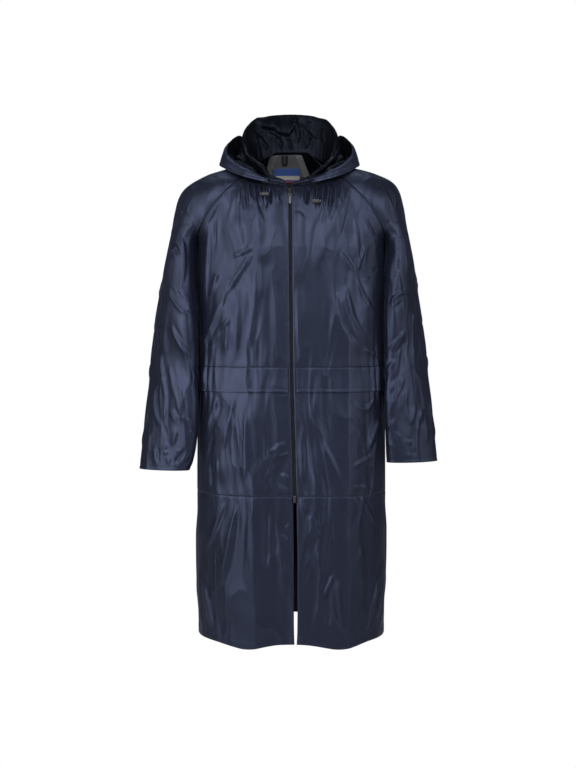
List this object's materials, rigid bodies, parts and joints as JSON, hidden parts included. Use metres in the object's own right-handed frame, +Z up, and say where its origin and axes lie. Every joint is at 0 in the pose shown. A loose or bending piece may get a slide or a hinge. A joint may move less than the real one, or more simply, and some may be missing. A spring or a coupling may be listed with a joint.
{
  "type": "hooded raincoat",
  "caption": "Long hooded raincoat with raglan sleeves, zip front, waist flaps and drawcords with cord locks, shaped as worn with its hood down.",
  "frame": {"origin": "the middle of the neck opening, between the shoulders", "axes": "+Z up towards the hood, +X towards the wearer's left, -Y towards the coat's front"},
  "size_m": [0.6919, 0.3769, 1.2349],
  "materials": {
    "navy_nylon": "smooth woven nylon with a soft sheen",
    "grey_mesh": "knitted mesh",
    "blue_label": "woven label, bare",
    "black_tape": "woven tape",
    "black_cord": "braided cord",
    "dark_steel": "dark plated",
    "bright_steel": "bright plated",
    "grey_plastic": "moulded"
  },
  "bodies": {
    "coat": {"back_lower": "navy_nylon", "back_middle": "navy_nylon", "back_neck_mesh": "grey_mesh", "back_upper": "navy_nylon", "cord_lock_left": "grey_plastic", "cord_lock_right": "grey_plastic", "drawcord_left": "black_cord", "drawcord_right": "black_cord", "eyelet_left": "dark_steel", "eyelet_right": "dark_steel", "front_lower_left": "navy_nylon", "front_lower_right": "navy_nylon", "front_middle_left": "navy_nylon", "front_middle_right": "navy_nylon", "front_upper_left": "navy_nylon", "front_upper_right": "navy_nylon", "hanger_loop": "black_tape", "hood_casing": "navy_nylon", "hood_left": "navy_nylon", "hood_right": "navy_nylon", "neck_label": "blue_label", "sleeve_left": "navy_nylon", "sleeve_right": "navy_nylon", "waist_flap_left": "navy_nylon", "waist_flap_right": "navy_nylon", "zip_bottom_box": "bright_steel", "zip_slider": "dark_steel", "zip_tape_left": "black_tape", "zip_tape_right": "black_tape"},
    "pull_tab": {"zip_pull_tab": "dark_steel"}
  },
  "joints": [
    {"name": "pull_tab_hinge", "type": "hinge", "parent": "coat", "child": "pull_tab", "pos_m": [-0.00317, -0.10511, -0.08011], "axis": [-1, 0, 0], "range_deg": [0, 150]}
  ]
}
